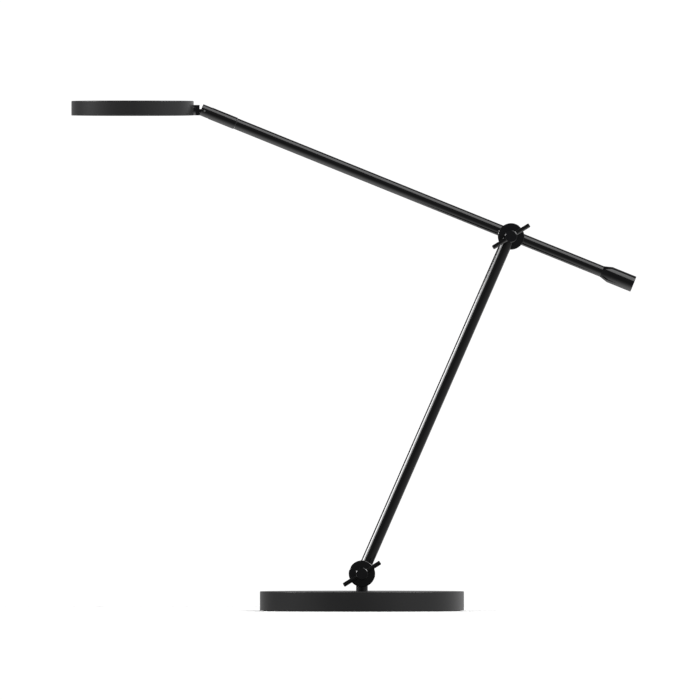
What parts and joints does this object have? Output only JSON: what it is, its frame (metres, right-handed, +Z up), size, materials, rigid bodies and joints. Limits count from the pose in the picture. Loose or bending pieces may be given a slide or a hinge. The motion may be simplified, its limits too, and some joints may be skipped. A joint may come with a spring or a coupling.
{
  "type": "counterweight balance desk lamp",
  "caption": "Desk lamp on a heavy round base: two clamped tube arms, a balance weight on the upper one, and a flat round LED head that tilts and rolls.",
  "frame": {"origin": "middle of the underside, on the face that stands on the table", "axes": "+X towards the counterweight, away from the head; +Y away from the clamp nuts, to the upper arm's side; +Z up"},
  "size_m": [0.554, 0.2016, 0.4999],
  "materials": {
    "base_shell": "satin",
    "head_shell": "satin",
    "arm_gloss": "gloss",
    "bar_gloss": "gloss",
    "joint_black": "satin",
    "ballast_iron": "matte",
    "zinc_steel": "satin",
    "bush_plastic": "satin",
    "pad_rubber": "matte",
    "friction_fibre": "matte",
    "black_plastic": "matte",
    "button_plastic": "satin",
    "circuit_board": "satin",
    "component_plastic": "satin",
    "lead_sheath": "satin",
    "bare_aluminium": "satin",
    "led_board_white": "satin",
    "led_phosphor": "gloss",
    "reflector_white": "gloss",
    "opal_acrylic": "satin"
  },
  "bodies": {
    "base": {"base_cover": "base_shell", "ballast_disc": "ballast_iron", "base_plate": "joint_black", "base_pad": "pad_rubber", "base_screws": "zinc_steel", "cord_gland": "black_plastic", "driver_board": "circuit_board", "driver_components": "component_plastic", "dimmer_board": "circuit_board", "tact_switch": "component_plastic", "lamp_lead": "lead_sheath", "dimmer_lead": "lead_sheath", "swivel_bush": "bush_plastic"},
    "button": {"dimmer_button": "button_plastic", "switch_plunger": "component_plastic"},
    "post": {"post_shaft": "joint_black", "stop_washer": "zinc_steel", "post_nut": "zinc_steel", "lower_fork": "joint_black", "lower_friction_washers": "friction_fibre", "lower_clamp_stud": "zinc_steel"},
    "lower_clamp": {"lower_clamp_nut": "joint_black", "lower_clamp_bar": "bar_gloss"},
    "lower_arm": {"lower_arm_foot": "joint_black", "lower_arm_tube": "arm_gloss", "lower_arm_head": "joint_black", "lower_arm_lead": "lead_sheath", "upper_friction_washer": "friction_fibre"},
    "upper_clamp": {"upper_clamp_nut": "joint_black", "upper_clamp_bar": "bar_gloss"},
    "upper_arm": {"upper_clamp_stud": "zinc_steel", "upper_arm_plate": "joint_black", "upper_arm_tube": "arm_gloss", "upper_arm_lead": "lead_sheath", "counterweight": "arm_gloss", "counterweight_screw": "joint_black", "roll_bush": "bush_plastic"},
    "head_mount": {"roll_sleeve": "arm_gloss", "roll_washer": "zinc_steel", "roll_clip": "zinc_steel", "tilt_pin": "zinc_steel", "tilt_washers": "zinc_steel"},
    "head": {"head_blade": "joint_black", "blade_nut": "zinc_steel", "head_lead": "lead_sheath", "head_housing": "head_shell", "heat_spreader": "bare_aluminium", "led_board": "led_board_white", "led_chips": "led_phosphor", "head_screws": "zinc_steel", "reflector_ring": "reflector_white", "diffuser": "opal_acrylic", "diffuser_ring": "head_shell"}
  },
  "joints": [
    {"name": "base_swivel", "type": "hinge", "parent": "base", "child": "post", "pos_m": [0, 0, 0.017], "axis": [0, 0, 1], "range_deg": [-158, 158]},
    {"name": "lower_pivot", "type": "hinge", "parent": "post", "child": "lower_arm", "pos_m": [0, 0, 0.0365], "axis": [0, 1, 0], "range_deg": [-35, 30]},
    {"name": "upper_pivot", "type": "hinge", "parent": "lower_arm", "child": "upper_arm", "pos_m": [0.14615, 0, 0.36703], "axis": [0, 1, 0], "range_deg": [-35, 40]},
    {"name": "head_roll", "type": "hinge", "parent": "upper_arm", "child": "head_mount", "pos_m": [0.14674, 0.0176, 0.36849], "axis": [0.9272, 0, -0.3746], "range_deg": [-170, 170]},
    {"name": "head_tilt", "type": "hinge", "parent": "head_mount", "child": "head", "pos_m": [-0.15422, 0.0176, 0.49009], "axis": [0, 1, 0], "range_deg": [-53, 97]},
    {"name": "lower_clamp_turn", "type": "hinge", "parent": "post", "child": "lower_clamp", "pos_m": [0, 0, 0.0365], "axis": [0, -1, 0], "range_deg": [-75, 15]},
    {"name": "upper_clamp_turn", "type": "hinge", "parent": "lower_arm", "child": "upper_clamp", "pos_m": [0.14615, 0, 0.36703], "axis": [0, -1, 0], "range_deg": [-75, 180]},
    {"name": "button_press", "type": "slide", "parent": "base", "child": "button", "axis": [0, 0, -1], "range_m": [0, 0.0005], "stiffness_N_per_m": 1500, "springref_m": -0.0004}
  ]
}
